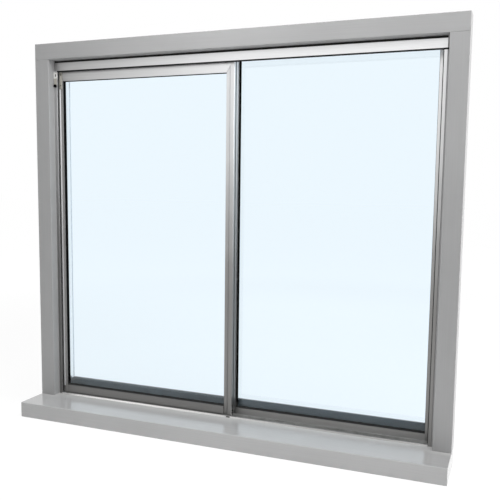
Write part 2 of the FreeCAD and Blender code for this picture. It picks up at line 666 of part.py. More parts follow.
# Panes and gaskets
def make_glass(lite):
    """A pane that reaches into the glazing slots of one lite."""
    pane = doc.addObject("Part::Box", f"{lite}_glass")
    pane.Label = f"{lite}_glass"
    bind(pane, "Length", f"{lite}_glass_right - {lite}_glass_left + 2 * glass_bite")
    bind(pane, "Width", "glass_thick")
    bind(pane, "Height", f"{lite}_glass_top - {lite}_glass_foot + 2 * glass_bite")
    place(pane, f"{lite}_glass_left - glass_bite", f"{lite}_front + glass_inset",
          f"{lite}_glass_foot - glass_bite")
    SUB_PARTS.append(pane)


def make_gasket(lite, side, right_lip):
    """A rubber ring on the front or the rear of a pane."""
    y = f"{lite}_front + glass_inset - gasket_thick"
    if side == "rear":
        y = f"{lite}_front + glass_inset + glass_thick"
    body = new_body(f"{lite}_{side}_gasket", f"{lite}_glass_left", y, f"{lite}_glass_foot")
    width = f"{lite}_glass_right - {lite}_glass_left"
    height = f"{lite}_glass_top - {lite}_glass_foot"
    ring = [rectangle("0", "0", width, height),
            rectangle("gasket_lip", "gasket_lip", f"{width} - {right_lip}", f"{height} - gasket_thin")]
    add_pad(body, "ring", "XZ_Plane", ring, "gasket_thick", back=True)


make_surround_head()
make_surround_jamb("surround_left_jamb", "-overall_width / 2", "0", "jamb_face")
make_surround_jamb("surround_right_jamb", "right_opening", "jamb_face", "0")
make_surround_sill()
make_frame_head()
make_frame_sill()
make_frame_jamb("left", "left_opening", "frame_wall", ("0", "left_lip"), ("0", "jamb_rear_lip"))
make_frame_jamb("right", "right_opening", "-frame_wall", ("-fillet_width", "-right_lip"),
                ("0", "-jamb_rear_lip"))
make_fillet()
make_jamb_strip("left", "track_left - jamb_strip_bed", "left_strip_depth", "jamb_strip_bed")
make_jamb_strip("right", "track_right - right_strip_proud", "right_strip_depth",
                "jamb_strip_bed + right_strip_proud")
make_track_rail()
make_weather_bar()
make_strip("head_seal_strip", "left_opening", "frame_front + seal_inset", "head_top",
           "opening_width", "seal_depth", "head_gap")
make_strip("head_brush_strip", "track_left", "frame_front", "lip_foot - brush_drop",
           "track_right - track_left", "frame_wall", "brush_drop")
make_corner_stop()
make_buffer()
make_sash_rails()
make_lock_stile()
make_corner_plate()
make_sash_meeting_stile()
make_glides()
make_fixed_rails()
make_fixed_stiles()
for lite, right_lip in (("sash", "gasket_meeting"), ("fixed", "gasket_thin")):
    make_glass(lite)
    for side in ("front", "rear"):
        make_gasket(lite, side, right_lip)
doc.recompute()

for item in doc.Objects:
    if "Invalid" in item.State or "Error" in item.State:
        raise RuntimeError(f"{item.Name} failed: {item.State}")
for item in SUB_PARTS:
    if item.Shape.isNull() or not item.Shape.isValid() or len(item.Shape.Solids) != 1:
        raise RuntimeError(f"{item.Label} has no single valid solid")

os.makedirs("parts", exist_ok=True)
for item in SUB_PARTS:
    item.Shape.exportStep(os.path.join("parts", item.Label + ".step"))
print(f"{len(SUB_PARTS)} sub-parts written")
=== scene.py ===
import math
import random

import bpy
from bpy.props import FloatProperty, FloatVectorProperty, IntProperty, PointerProperty
from bpy.types import Operator, Panel, PropertyGroup
from mathutils import Matrix, Vector


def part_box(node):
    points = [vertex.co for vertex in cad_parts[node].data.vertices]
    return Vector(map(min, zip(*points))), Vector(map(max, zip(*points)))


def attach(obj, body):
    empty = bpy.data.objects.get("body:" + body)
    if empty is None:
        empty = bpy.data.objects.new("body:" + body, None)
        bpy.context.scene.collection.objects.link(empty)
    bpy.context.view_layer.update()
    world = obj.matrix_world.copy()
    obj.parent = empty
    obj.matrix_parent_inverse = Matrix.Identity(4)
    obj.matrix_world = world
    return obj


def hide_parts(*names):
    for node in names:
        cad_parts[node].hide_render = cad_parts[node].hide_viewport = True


bl_info = {
    "name": "Horizontal sliding window",
    "version": (1, 0, 0),
    "blender": (4, 5, 0),
    "location": "View3D > Sidebar > Sliding Window",
    "description": "Finishes and small fittings of a sliding window in a painted surround",
    "category": "Object",
}

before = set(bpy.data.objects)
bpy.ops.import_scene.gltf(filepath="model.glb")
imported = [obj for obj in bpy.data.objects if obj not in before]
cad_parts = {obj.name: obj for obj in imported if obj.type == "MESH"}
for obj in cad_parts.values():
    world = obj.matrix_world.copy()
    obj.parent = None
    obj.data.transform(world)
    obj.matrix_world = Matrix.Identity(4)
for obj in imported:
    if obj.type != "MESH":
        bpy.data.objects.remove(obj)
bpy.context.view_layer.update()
MM = 0.001

# Colours that belong to one finish each, and the white of the surroundings
DRAWN_LINE = (0.2, 0.2, 0.2, 1)
BARE_RAIL = (0.56, 0.56, 0.55, 1)
SLATE_DUST = (0.25, 0.262, 0.266, 1)
SLATE_EDGE = (0.22, 0.24, 0.25, 1)
PILE_TIP = (0.04, 0.04, 0.041, 1)
SCREW_BLACK = (0.035, 0.034, 0.033, 1)
SCREW_BRIGHT = (0.3, 0.3, 0.3, 1)
WHITE = (1, 1, 1, 1)
# Stretch of the brush strokes and of the drawn lines, along a level piece and along an upright one
BRUSHED_RUN = (0.06, 6, 6)
BRUSHED_UPRIGHT = (6, 6, 0.06)
DRAWN_RUN = (5, 1400, 1400)
DRAWN_UPRIGHT = (1400, 1400, 5)
# Shares of the paint's colour between its brush strokes and on them
PAINT_TONES = (0.94, 1.06)
# Cosines of the turn from a face to its edge where wear starts and where it is full
EDGE_STARTS = 0.995
EDGE_FULL = 0.86
# Facets round the turned pieces
BUFFER_SIDES = 40
SMALL_SIDES = 28
# Angles in degrees above which an edge stays sharp
GASKET_CREASE = 30
ROUND_CREASE = 35
# Brush strip: its backing, the root of a tuft below it, and the room at its end
BACKING = 1.2 * MM
TUFT_ROOT = 0.2 * MM
END_ROOM = 0.2 * MM
# Tufts: width as a share of their pitch, share of that at the root, and shift of every other row
TUFT_WIDTH = 0.62
ROOT_SHARE = 0.8
ROW_SHIFT = 0.25
# Tufts: sway of a tip along and across the strip and its ragged length, in millimetres, and their seed
SWAY_ALONG = 0.5
SWAY_ACROSS = 0.25
RAGGED = 0.4
TUFT_SEED = 7
# Corner plates: face to grommet, face to screw seat, and the high screw's inset as a share of the low one's
GROMMET_INSET = 0.3 * MM
SCREW_SEAT = 1.2 * MM
HIGH_INSET = 1.6
# Floor: half its width and where it starts and stops whitening, in metres, and its white beyond that
FLOOR_REACH = 30
WHITENS_FROM = 1.5
WHITENS_TO = 4.6
FAR_WHITE = 0.985
# Camera sensor in millimetres
SENSOR_WIDTH = 36
# Pieces of aluminium by the way they were drawn and, for the satin and fixed pieces, by how much painted
# light their copy of the finish carries
SATIN_HIGH = ("frame_head_lip", "sash_top_rail")
SATIN_LOW = ("sash_bottom_rail",)
SATIN_UPRIGHT = ("frame_right_lip", "sash_meeting_stile")
FIXED_RUN = ("fixed_top_rail", "fixed_bottom_rail")
FIXED_UPRIGHT = ("fixed_jamb_stile", "fixed_meeting_stile")
MILL_RUN = ("frame_head", "frame_head_rear_lip", "head_guide_fin", "frame_sill")
MILL_UPRIGHT = ("frame_left_jamb", "frame_left_rear_lip", "frame_right_jamb", "frame_right_rear_lip")
# Lamps: name, width, place, target and whether metal and glass show them
LAMPS = (
    ("top", 0.4, (-0.05, -0.5, 1.75), (-0.05, 0, 1.2), False),
    ("corner", 0.6, (1.1, -0.5, 2.0), (0.6, 0, 1.0), True),
    ("overhead", 2.4, (0.15, -1.0, 3.2), (0.15, -1.0, 0), False),
    ("side", 1.5, (3.0, -0.5, 1.3), (0.0, 0, 0.8), True),
    ("low", 0.8, (-0.5, -1.3, 0.15), (-0.1, 0, 1.2), False),
    ("rim", 1.0, (2.6, 0.4, 0.9), (0.75, 0, 0.7), False),
    ("back", 2.0, (-0.4, 2.6, 2.0), (0.0, 0, 0.7), False),
)
# Gaskets: node, body and side of the pane, -1 in front
GASKETS = (
    ("sash_front_gasket", "sash", -1), ("sash_rear_gasket", "sash", 1),
    ("fixed_front_gasket", "window", -1), ("fixed_rear_gasket", "window", 1),
)


class SurroundSettings(PropertyGroup):
    """Paint of the timber surround."""
    colour: FloatVectorProperty(
        name="Paint", description="Grey satin paint of the boards", subtype="COLOR", size=4,
        min=0, max=1, default=(0.356, 0.357, 0.359, 1))
    worn: FloatVectorProperty(
        name="Worn edge", description="Paint rubbed thin along the edges", subtype="COLOR", size=4,
        min=0, max=1, default=(0.47, 0.468, 0.46, 1))
    # A lighter copy of the surround's grey for the sill board: painted light.
    sill_lit_colour: FloatVectorProperty(
        name="Sill paint", description="Bleached paint of the sill board", subtype="COLOR", size=4,
        min=0, max=1, default=(0.44, 0.44, 0.441, 1))
    roughness: FloatProperty(
        name="Roughness", description="Middle roughness of the head and jambs", subtype="FACTOR",
        min=0, max=1, default=0.42)
    sill_roughness: FloatProperty(
        name="Sill roughness", description="Middle roughness of the glossier sill board", subtype="FACTOR",
        min=0, max=1, default=0.15)
    # The left and right shares paint the sill top lighter at the left and darker at the right: painted light
    # and painted shade.
    sill_left: FloatProperty(
        name="Sill top left", description="Share of the sill paint on the left end of its top",
        subtype="FACTOR", min=0, max=2, default=1.18)
    sill_right: FloatProperty(
        name="Sill top right", description="Share of the sill paint on the right end of its top",
        subtype="FACTOR", min=0, max=2, default=0.72)
    # A paler strip of the sill top in front of the frame: painted light over the shade there.
    sill_front_light: FloatVectorProperty(
        name="Sill dust", description="Pale dust on the sill board along the frame", subtype="COLOR", size=4,
        min=0, max=1, default=(0.57, 0.57, 0.565, 1))
    front_light_reach: FloatProperty(
        name="Dust reach", description="Dust in front of the frame", subtype="DISTANCE", unit="LENGTH",
        default=60 * MM)


class MetalSettings(PropertyGroup):
    """Aluminium of the frame, the sash and the fixed lite."""
    bright: FloatVectorProperty(
        name="Aluminium", description="Clean satin aluminium", subtype="COLOR", size=4,
        min=0, max=1, default=(0.80, 0.805, 0.81, 1))
    # The film colour is real film where it makes specks and grime, and painted shade where the satin metal
    # darkens towards the bottom and the left.
    film_and_shade: FloatVectorProperty(
        name="Weather film", description="Dull film on the lower part of the window", subtype="COLOR",
        size=4, min=0, max=1, default=(0.25, 0.247, 0.243, 1))
    # The nose colour is its bright left end, a painted highlight; the finish paints it darker to the right,
    # painted shade.
    nose: FloatVectorProperty(
        name="Sill nose", description="Metal of the sloping nose at its left end", subtype="COLOR", size=4,
        min=0, max=1, default=(0.85, 0.845, 0.835, 1))
    # The mill colour is also the pale painted highlight on the pull lip.
    mill: FloatVectorProperty(
        name="Mill finish", description="Bright metal of the frame's inside plates", subtype="COLOR", size=4,
        min=0, max=1, default=(0.93, 0.94, 0.95, 1))
    # Heights and places of the painted shade on the satin metal, which is darker towards the bottom and the
    # left.
    shade_foot: FloatProperty(
        name="Film foot", description="Height below which the film is full", subtype="DISTANCE",
        unit="LENGTH", default=0.42)
    shade_top: FloatProperty(
        name="Film top", description="Height above which the metal is clean", subtype="DISTANCE",
        unit="LENGTH", default=1.28)
    shaded_side: FloatProperty(
        name="Dull side", description="Place across the window where the film is thickest",
        subtype="DISTANCE", unit="LENGTH", default=-0.74)
    lit_side: FloatProperty(
        name="Bright side", description="Place across the window where the film ends", subtype="DISTANCE",
        unit="LENGTH", default=0.02)
    roughness: FloatProperty(
        name="Roughness", description="Middle roughness of the metal", subtype="FACTOR",
        min=0, max=1, default=0.42)
    slate: FloatVectorProperty(
        name="Weather bar", description="Slate coating of the weather bar", subtype="COLOR", size=4,
        min=0, max=1, default=(0.135, 0.145, 0.15, 1))


class GlazingSettings(PropertyGroup):
    """Panes and their rubber."""
    tint: FloatVectorProperty(
        name="Glass", description="Tint of the panes", subtype="COLOR", size=4,
        min=0, max=1, default=(0.835, 0.935, 1.0, 1))
    rubber: FloatVectorProperty(
        name="Rubber", description="Black rubber of the gaskets", subtype="COLOR", size=4,
        min=0, max=1, default=(0.002, 0.002, 0.0024, 1))
    bloom: FloatVectorProperty(
        name="Bloom", description="Dusty bloom on the rubber", subtype="COLOR", size=4,
        min=0, max=1, default=(0.008, 0.008, 0.008, 1))
    settled: FloatVectorProperty(
        name="Settled dust", description="Dust on the low run of the gaskets", subtype="COLOR", size=4,
        min=0, max=1, default=(0.034, 0.035, 0.035, 1))
    strip: FloatVectorProperty(
        name="Strips", description="Weathered rubber of the seal strips", subtype="COLOR", size=4,
        min=0, max=1, default=(0.035, 0.035, 0.034, 1))
    lip: FloatProperty(
        name="Lip", description="Thin edge of a gasket on the pane", subtype="DISTANCE", unit="LENGTH",
        default=0.5 * MM)


class FittingSettings(PropertyGroup):
    """Brush strip, drain flap, corner stop and glides."""
    pile: FloatVectorProperty(
        name="Pile", description="Black pile of the brush strip", subtype="COLOR", size=4,
        min=0, max=1, default=(0.016, 0.016, 0.017, 1))
    tuft_pitch: FloatProperty(
        name="Tuft pitch", description="From one tuft of the brush strip to the next", subtype="DISTANCE",
        unit="LENGTH", default=1.6 * MM)
    tuft_reach: FloatProperty(
        name="Tuft reach", description="Tufts below the foot of the brush strip", subtype="DISTANCE",
        unit="LENGTH", default=1.3 * MM)
    tuft_rows: IntProperty(
        name="Tuft rows", description="Rows of tufts in the brush strip", min=1, max=4, default=2)
    end_proud: FloatProperty(
        name="Strip end", description="End of the brush strip in front of the right lip", subtype="DISTANCE",
        unit="LENGTH", default=1.2 * MM)
    flap_length: FloatProperty(
        name="Flap length", description="Flap along the drain slot", subtype="DISTANCE", unit="LENGTH",
        default=13.4 * MM)
    flap_height: FloatProperty(
        name="Flap height", description="Flap up the drain slot", subtype="DISTANCE", unit="LENGTH",
        default=2.6 * MM)
    flap_lift: FloatProperty(
        name="Flap lift", description="Flap above the sill board", subtype="DISTANCE", unit="LENGTH",
        default=0.7 * MM)
    flap_room: FloatProperty(
        name="Flap room", description="Flap to the edges of the drain slot", subtype="DISTANCE",
        unit="LENGTH", default=0.3 * MM)
    plate: FloatVectorProperty(
        name="Stop plate", description="Light plate of the corner stop", subtype="COLOR", size=4,
        min=0, max=1, default=(0.86, 0.86, 0.84, 1))
    dull_plate: FloatVectorProperty(
        name="Corner plate", description="Stained plate on the sash and neck of the corner stop",
        subtype="COLOR", size=4, min=0, max=1, default=(0.42, 0.405, 0.36, 1))
    plate_height: FloatProperty(
        name="Light plate", description="Height of the light plate of the corner stop", subtype="DISTANCE",
        unit="LENGTH", default=22 * MM)
    slot_size: FloatVectorProperty(
        name="Slot", description="Width and height of the oval in the light plate", subtype="XYZ_LENGTH",
        unit="LENGTH", size=2, default=(4.3 * MM, 9.8 * MM))
    nylon: FloatVectorProperty(
        name="Glides", description="Nylon of the glide blocks", subtype="COLOR", size=4,
        min=0, max=1, default=(0.62, 0.6, 0.55, 1))
    screw_radius: FloatProperty(
        name="Screw", description="Head of the corner plate's screws", subtype="DISTANCE", unit="LENGTH",
        default=2.0 * MM)
    screw_drop: FloatProperty(
        name="Screw inset", description="Low screw above the foot of the corner plate", subtype="DISTANCE",
        unit="LENGTH", default=11 * MM)


class StageSettings(PropertyGroup):
    """Floor, lamps and camera."""
    floor: FloatVectorProperty(
        name="Floor", description="Pale floor", subtype="COLOR", size=4,
        min=0, max=1, default=(0.9, 0.9, 0.9, 1))
    floor_lift: FloatProperty(
        name="Floor lift", description="White of the seen floor near the window", default=0.89)
    floor_shade: FloatProperty(
        name="Floor shade", description="Share of light and shadow on the seen floor", default=0.16)
    ambient: FloatProperty(
        name="Ambient", description="Even light from all around", default=0.09)
    top_power: FloatProperty(
        name="Top lamp", description="Lamp above the middle of the head", unit="POWER", default=2.8)
    corner_power: FloatProperty(
        name="Corner lamp", description="Lamp above the right end of the head", unit="POWER", default=6)
    overhead_power: FloatProperty(
        name="Overhead lamp", description="Wide lamp above the front", unit="POWER", default=68)
    side_power: FloatProperty(
        name="Side lamp", description="Lamp far to the right", unit="POWER", default=31)
    low_power: FloatProperty(
        name="Low lamp", description="Lamp low in front of the left half", unit="POWER", default=5)
    rim_power: FloatProperty(
        name="Rim lamp", description="Lamp on the right outer side", unit="POWER", default=30)
    back_power: FloatProperty(
        name="Back lamp", description="Wide lamp behind the window", unit="POWER", default=30)
    camera_place: FloatVectorProperty(
        name="Camera", description="Place of the camera", subtype="TRANSLATION", unit="LENGTH", size=3,
        default=(0.9042, -2.0808, 0.8456))
    camera_yaw: FloatProperty(
        name="Yaw", description="Camera turned to the left", subtype="ANGLE", unit="ROTATION",
        default=math.radians(21.49))
    camera_pitch: FloatProperty(
        name="Pitch", description="Camera tilted up, or down below zero", subtype="ANGLE", unit="ROTATION",
        default=math.radians(-6.24))
    camera_roll: FloatProperty(
        name="Roll", description="Camera rolled", subtype="ANGLE", unit="ROTATION",
        default=math.radians(-0.70))
    lens: FloatProperty(
        name="Lens", description="Focal length in millimetres on a 36 mm sensor", default=49.435)
    shift_x: FloatProperty(
        name="Shift across", description="Share of the image width", default=0.0032)
    shift_y: FloatProperty(
        name="Shift up", description="Share of the image width", default=0.0228)


class Finish:
    """A node material that is put together step by step."""

    def __init__(self, name):
        self.material = bpy.data.materials.new(name)
        self.material.use_nodes = True
        self.tree = self.material.node_tree
        self.shader = self.tree.nodes["Principled BSDF"]
        self.place = self.add("ShaderNodeTexCoord").outputs["Object"]

    def add(self, kind, **settings):
        """A node with its settings."""
        node = self.tree.nodes.new(kind)
        for key, value in settings.items():
            setattr(node, key, value)
        return node

    def feed(self, socket, value):
        """Link a socket to another, or set it to a plain value."""
        if isinstance(value, bpy.types.NodeSocket):
            self.tree.links.new(value, socket)
        else:
            socket.default_value = value

    def stretched(self, scale):
        """Coordinates stretched along the axes."""
        mapping = self.add("ShaderNodeMapping")
        self.feed(mapping.inputs["Vector"], self.place)
        self.feed(mapping.inputs["Scale"], scale)
        return mapping.outputs["Vector"]

    def noise(self, scale, detail=3.0, stretch=(1, 1, 1), roughness=0.5):
        """Noise from 0 to 1, in features per metre."""
        node = self.add("ShaderNodeTexNoise")
        self.feed(node.inputs["Vector"], self.stretched(stretch))
        self.feed(node.inputs["Scale"], scale)
        self.feed(node.inputs["Detail"], detail)
        self.feed(node.inputs["Roughness"], roughness)
        return node.outputs["Fac"]

    def spread(self, value, low, high, to_low=0.0, to_high=1.0, smooth=True):
        """Map a range of a value to another range, clamped."""
        node = self.add("ShaderNodeMapRange", interpolation_type="SMOOTHSTEP" if smooth else "LINEAR")
        for name, number in (("From Min", low), ("From Max", high), ("To Min", to_low), ("To Max", to_high)):
            self.feed(node.inputs[name], number)
        self.feed(node.inputs["Value"], value)
        return node.outputs["Result"]

    def combine(self, operation, one, other):
        """Two values put together by an operation."""
        node = self.add("ShaderNodeMath", operation=operation)
        self.feed(node.inputs[0], one)
        self.feed(node.inputs[1], other)
        return node.outputs["Value"]

    def blend(self, share, one, other):
        """A colour between two colours."""
        node = self.add("ShaderNodeMix", data_type="RGBA")
        self.feed(node.inputs["Factor"], share)
        self.feed(node.inputs["A"], one)
        self.feed(node.inputs["B"], other)
        return node.outputs["Result"]

    def along(self, axis):
        """Place along one axis of the window, in metres."""
        node = self.add("ShaderNodeSeparateXYZ")
        self.feed(node.inputs["Vector"], self.place)
        return node.outputs[axis]

    def edge(self, radius):
        """1 along the edges of a piece and 0 on its faces."""
        rounded = self.add("ShaderNodeBevel", samples=4)
        self.feed(rounded.inputs["Radius"], radius)
        flat = self.add("ShaderNodeNewGeometry")
        turn = self.add("ShaderNodeVectorMath", operation="DOT_PRODUCT")
        self.feed(turn.inputs[0], rounded.outputs["Normal"])
        self.feed(turn.inputs[1], flat.outputs["Normal"])
        return self.spread(turn.outputs["Value"], EDGE_STARTS, EDGE_FULL)

    def relief(self, height, strength, distance, edge_radius=0.0):
        """Bump, over edges that are rounded a little."""
        bump = self.add("ShaderNodeBump")
        self.feed(bump.inputs["Height"], height)
        self.feed(bump.inputs["Strength"], strength)
        self.feed(bump.inputs["Distance"], distance)
        if edge_radius:
            rounded = self.add("ShaderNodeBevel", samples=4)
            self.feed(rounded.inputs["Radius"], edge_radius)
            self.feed(bump.inputs["Normal"], rounded.outputs["Normal"])
        self.feed(self.shader.inputs["Normal"], bump.outputs["Normal"])

    def set(self, **sockets):
        """Set or link the shader's own sockets."""
        for name, value in sockets.items():
            self.feed(self.shader.inputs[name.replace("_", " ")], value)
        return self.material


# Finishes
def scaled(colour, share):
    """A colour made lighter or darker."""
    return [min(1.0, part * share) for part in colour[:3]] + [1]


def satin_paint(name, settings, colour, stroke, roughness, relief, specular=0.5, board=None):
    """Satin paint over timber, brushed along the board; the top of a sill board gets painted light and
    painted shade along its length, and a paler strip of painted light in front of the frame.
    """
    paint = Finish(name)
    cloud = paint.noise(scale=2.6, detail=4.0)
    strokes = paint.noise(scale=60, detail=4.0, stretch=stroke)
    stipple = paint.noise(scale=420, detail=2.0)
    clouded = paint.spread(cloud, 0.3, 0.7, 0, 0.6)
    brushed = paint.spread(strokes, 0.3, 0.7, 0, 0.4)
    mixed = paint.combine("ADD", clouded, brushed)

    def coat(share):
        darker, lighter = (scaled(colour, tone * share) for tone in PAINT_TONES)
        return paint.blend(mixed, darker, lighter)

    body = coat(1.0)
    if board is not None:
        # Painted light and painted shade on the sill top: lighter at its left end, darker at its right end,
        # and paler in a strip in front of the frame.
        low, high = board
        along = paint.spread(paint.along("X"), low.x, high.x, smooth=False)
        lit_top = paint.blend(along, coat(settings.sill_left), coat(settings.sill_right))
        frame_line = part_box("frame_sill_nose")[0].y
        frame_strip = paint.spread(paint.along("Y"), frame_line - settings.front_light_reach, frame_line)
        lit_top = paint.blend(frame_strip, lit_top, settings.sill_front_light)
        upper = paint.spread(paint.along("Z"), high.z - 1.0 * MM, high.z - 0.5 * MM)
        body = paint.blend(upper, body, lit_top)
    patchy = paint.spread(paint.noise(scale=26), 0.42, 0.72, 0.1, 0.85)
    rubbed = paint.combine("MULTIPLY", paint.edge(2.2 * MM), patchy)
    sheen = paint.spread(strokes, 0.25, 0.75, roughness * 0.85, roughness * 1.2)
    skin = paint.combine("ADD", paint.combine("MULTIPLY", strokes, 1.4), stipple)
    paint.relief(skin, relief, distance=0.1 * MM, edge_radius=0.8 * MM)
    return paint.set(
        Base_Color=paint.blend(rubbed, body, settings.worn), Roughness=sheen, Specular_IOR_Level=specular)


def satin_aluminium(name, settings, grain, lift=1.0, lit_scale=1.0, pull=None):
    """Drawn aluminium, painted darker towards the bottom and the left as painted shade, made brighter per
    copy by lift as painted light, and pale on a pull lip in front of a face as a painted highlight.
    """
    metal = Finish(name)
    lines = metal.noise(scale=1, detail=3.0, stretch=grain, roughness=0.6)
    patches = metal.noise(scale=9, detail=4.0)
    drift = metal.combine("MULTIPLY", metal.combine("SUBTRACT", patches, 0.5), 0.16)
    # Painted shade: darker towards the bottom and towards the left, bright above and to the right.
    high = metal.spread(metal.combine("ADD", metal.along("Z"), drift), settings.shade_foot, settings.shade_top)
    right = metal.spread(metal.along("X"), settings.shaded_side, settings.lit_side, 0.16, 1.0, smooth=False)
    lit_share = metal.combine("MULTIPLY", metal.combine("MULTIPLY", high, right), lit_scale)
    body = metal.blend(lit_share, scaled(settings.film_and_shade, lift), scaled(settings.bright, lift))
    body = metal.blend(metal.spread(lines, 0.35, 0.65, 0.0, 0.08), body, DRAWN_LINE)
    metallic = 1.0
    # Painted highlight: the upper pull lip is pale and less metallic so that it reads bright.
    if pull is not None:
        lip = metal.spread(metal.along("Y"), pull, pull - 0.5 * MM)
        body = metal.blend(lip, body, settings.mill)
        metallic = metal.spread(metal.combine("MULTIPLY", lip, high), 0, 1, 1.0, 0.2)
    grained = metal.spread(lines, 0.3, 0.7, settings.roughness - 0.05, settings.roughness + 0.06)
    rough = metal.combine("ADD", grained, metal.spread(lit_share, 0, 1, 0.06, 0))
    metal.relief(lines, strength=0.10, distance=0.03 * MM, edge_radius=0.5 * MM)
    return metal.set(Base_Color=body, Roughness=rough, Metallic=metallic)


def mill_aluminium(name, settings, colour, grain, right_shade_share=None):
    """Aluminium as it left the mill, with specks of film, and painted darker at the right by a share,
    painted shade.
    """
    metal = Finish(name)
    body = colour
    if right_shade_share is not None:
        body = metal.blend(metal.spread(metal.along("X"), -0.5, 0.5), colour, scaled(colour, right_shade_share))
    lines = metal.noise(scale=1, detail=3.0, stretch=grain, roughness=0.6)
    specks = metal.spread(metal.noise(scale=70, detail=4.0), 0.6, 0.8, 0, 0.12)
    metal.relief(lines, strength=0.08, distance=0.03 * MM, edge_radius=0.5 * MM)
    return metal.set(
        Base_Color=metal.blend(specks, body, settings.film_and_shade),
        Roughness=metal.spread(lines, 0.3, 0.7, 0.24, 0.34), Metallic=1.0)


def track_metal(settings):
    """Bare rail, polished in streaks by the glides."""
    metal = Finish("track_metal")
    streaks = metal.noise(scale=1, detail=4.0, stretch=(7, 900, 900))
    grime = metal.noise(scale=45, detail=4.0)
    share = metal.spread(grime, 0.45, 0.75, 0, 0.4)
    metal.relief(streaks, strength=0.15, distance=0.05 * MM, edge_radius=0.4 * MM)
    return metal.set(
        Base_Color=metal.blend(share, BARE_RAIL, settings.film_and_shade),
        Roughness=metal.spread(streaks, 0.3, 0.7, 0.24, 0.5), Metallic=1.0)


def slate_coat(settings):
    """Powder coating with a fine grain, dusty towards the left."""
    coat = Finish("slate_coat")
    grain = coat.noise(scale=700, detail=2.0)
    cloud = coat.noise(scale=7, detail=4.0)
    side = coat.spread(coat.along("X"), -0.5, 0.2, 0.75, 0, smooth=False)
    dust = coat.combine("ADD", side, coat.spread(cloud, 0.45, 0.75, 0, 0.25))
    body = coat.blend(dust, settings.slate, SLATE_DUST)
    worn = coat.combine("MULTIPLY", coat.edge(1.5 * MM), 0.5)
    coat.relief(grain, strength=0.25, distance=0.1 * MM, edge_radius=0.8 * MM)
    return coat.set(
        Base_Color=coat.blend(worn, body, SLATE_EDGE),
        Roughness=coat.spread(grain, 0.3, 0.7, 0.42, 0.58))


def clear_glass(settings):
    """Float glass with a pale tint, faint waves and faint smears."""
    glass = Finish("clear_glass")
    smears = glass.noise(scale=5, detail=4.0, stretch=(1, 1, 2.5))
    waves = glass.noise(scale=3, detail=1.0)
    glass.relief(waves, strength=0.02, distance=0.2 * MM)
    return glass.set(
        Base_Color=settings.tint, Roughness=glass.spread(smears, 0.5, 0.8, 0.0, 0.03), IOR=1.5,
        Transmission_Weight=1.0)


def black_rubber(name, colour, dusty, dust_line=None, settled=None):
    """Extruded rubber with a dusty bloom, and settled dust below a line if one is given."""
    rubber = Finish(name)
    bloom = rubber.spread(rubber.noise(scale=30, detail=5.0), 0.45, 0.8, 0, 0.55)
    grain = rubber.noise(scale=900, detail=2.0)
    rubber.relief(grain, strength=0.3, distance=0.08 * MM)
    body = rubber.blend(bloom, colour, dusty)
    if dust_line is not None:
        low = rubber.spread(rubber.along("Z"), dust_line + 2 * MM, dust_line)
        body = rubber.blend(low, body, settled)
    return rubber.set(
        Base_Color=body, Roughness=rubber.spread(grain, 0.3, 0.7, 0.5, 0.7), Specular_IOR_Level=0.04)


def black_pile(settings):
    """Dense woven pile."""
    pile = Finish("black_pile")
    fibres = pile.noise(scale=1, detail=3.0, stretch=(2600, 2600, 160))
    pile.relief(fibres, strength=0.5, distance=0.2 * MM)
    return pile.set(
        Base_Color=pile.blend(pile.spread(fibres, 0.3, 0.7), settings.pile, PILE_TIP),
        Roughness=pile.spread(fibres, 0.3, 0.7, 0.75, 0.95), Specular_IOR_Level=0.15)


def cast_plate(name, settings, foot):
    """Cast plate with a fine skin, light above a height and stained below it."""
    plate = Finish(name)
    skin = plate.noise(scale=520, detail=3.0)
    cloud = plate.noise(scale=60, detail=3.0)
    plate.relief(skin, strength=0.2, distance=0.08 * MM, edge_radius=0.6 * MM)
    above = plate.spread(plate.along("Z"), foot, foot + 0.5 * MM)
    body = plate.blend(above, settings.dull_plate, settings.plate)
    return plate.set(
        Base_Color=plate.blend(plate.spread(cloud, 0.35, 0.8, 0, 0.35), body, settings.dull_plate),
        Roughness=plate.spread(skin, 0.3, 0.7, 0.34, 0.5))


def moulded_nylon(settings):
    """Nylon, scuffed by the track."""
    nylon = Finish("moulded_nylon")
    scuffs = nylon.noise(scale=1, detail=4.0, stretch=(40, 900, 900))
    dull = scaled(settings.nylon, 0.72)
    nylon.relief(scuffs, strength=0.2, distance=0.08 * MM, edge_radius=0.8 * MM)
    return nylon.set(
        Base_Color=nylon.blend(nylon.spread(scuffs, 0.4, 0.7), settings.nylon, dull),
        Roughness=nylon.spread(scuffs, 0.3, 0.7, 0.4, 0.6), Subsurface_Weight=0.1)


def blackened_steel():
    """Blackened screw steel, rubbed bright on its edges."""
    steel = Finish("blackened_steel")
    grain = steel.noise(scale=600, detail=3.0)
    worn = steel.combine("MULTIPLY", steel.edge(0.3 * MM), 0.6)
    steel.relief(grain, strength=0.2, distance=0.03 * MM)
    return steel.set(
        Base_Color=steel.blend(worn, SCREW_BLACK, SCREW_BRIGHT),
        Roughness=steel.spread(grain, 0.3, 0.7, 0.35, 0.55), Metallic=1.0)


# Ways of making and placing
def dress(names, material):
    """Give CAD nodes a finish."""
    for name in names:
        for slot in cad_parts[name].material_slots:
            slot.material = material


def new_piece(name, points, faces, material, body):
    """A mesh piece that rides on a body."""
    mesh = bpy.data.meshes.new(name)
    mesh.from_pydata([tuple(point) for point in points], [], faces)
    mesh.validate()
    mesh.update()
    piece = bpy.data.objects.new(name, mesh)
    bpy.context.scene.collection.objects.link(piece)
    mesh.materials.append(material)
    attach(piece, body)
    return piece


def smooth(piece, angle):
    """Smooth shading with sharp edges above an angle."""
    for face in piece.data.polygons:
        face.use_smooth = True
    piece.data.set_sharp_from_angle(angle=math.radians(angle))


